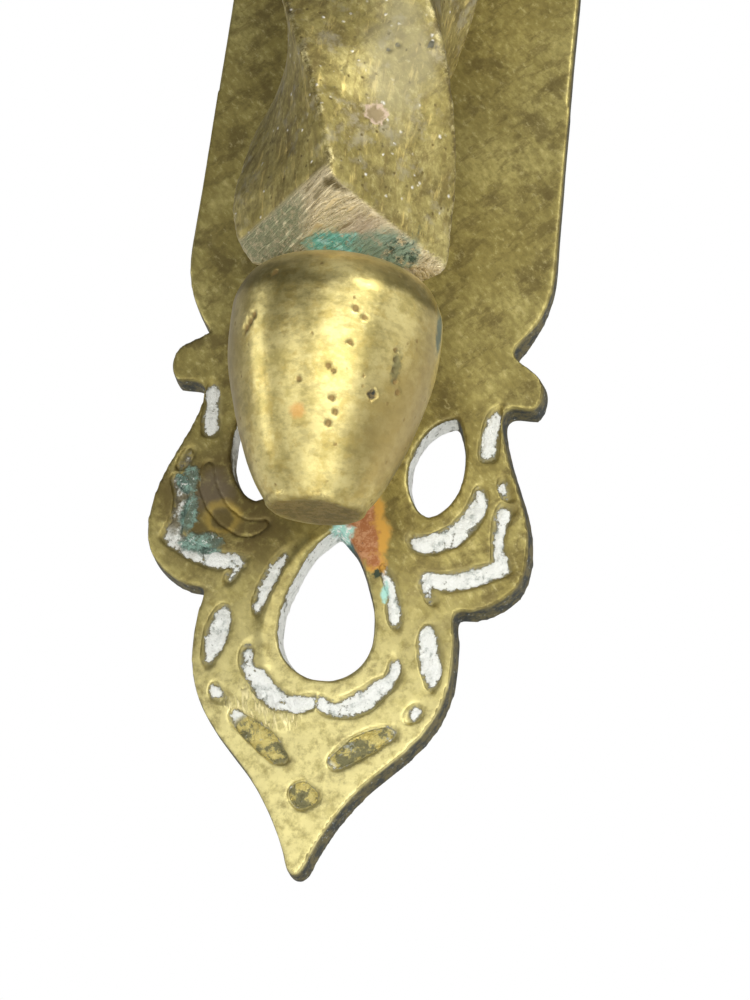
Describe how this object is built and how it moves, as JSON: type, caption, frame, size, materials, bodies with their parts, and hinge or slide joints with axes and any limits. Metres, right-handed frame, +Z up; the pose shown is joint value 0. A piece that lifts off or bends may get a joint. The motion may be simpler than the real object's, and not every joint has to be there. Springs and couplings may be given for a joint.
{
  "type": "door knocker",
  "caption": "Long brass door knocker: plate with pierced pointed ends, and a hinged twisted arm with an acorn end that strikes a stud.",
  "frame": {"origin": "centre of the plate's back face, the face that lies on the door", "axes": "+Y into the door, +Z up along the plate's length, +X to the right as seen from in front of the door"},
  "size_m": [0.0504, 0.0898, 0.247],
  "materials": {
    "cast_brass": "aged satin casting with dull olive patina and pale residue in the grooves",
    "twisted_brass": "aged cast bar, pitted, with worn ridges",
    "turned_brass": "worn polished brass",
    "iron": "rusted iron",
    "steel": "dull plain steel"
  },
  "bodies": {
    "plate": {"back_plate": "cast_brass", "hinge_bracket": "cast_brass", "bracket_washer": "steel", "bracket_lock_nut": "steel", "hinge_pin": "turned_brass", "pin_nut": "turned_brass", "eye_washers": "turned_brass", "strike_stud": "iron", "strike_washer": "steel", "strike_lock_nut": "steel"},
    "arm": {"knocker_arm": "twisted_brass", "acorn_stud": "steel", "acorn": "turned_brass"}
  },
  "joints": [
    {"name": "arm_swing", "type": "hinge", "parent": "plate", "child": "arm", "pos_m": [0, -0.019, 0.042], "axis": [-1, 0, 0], "range_deg": [0, 90]}
  ]
}
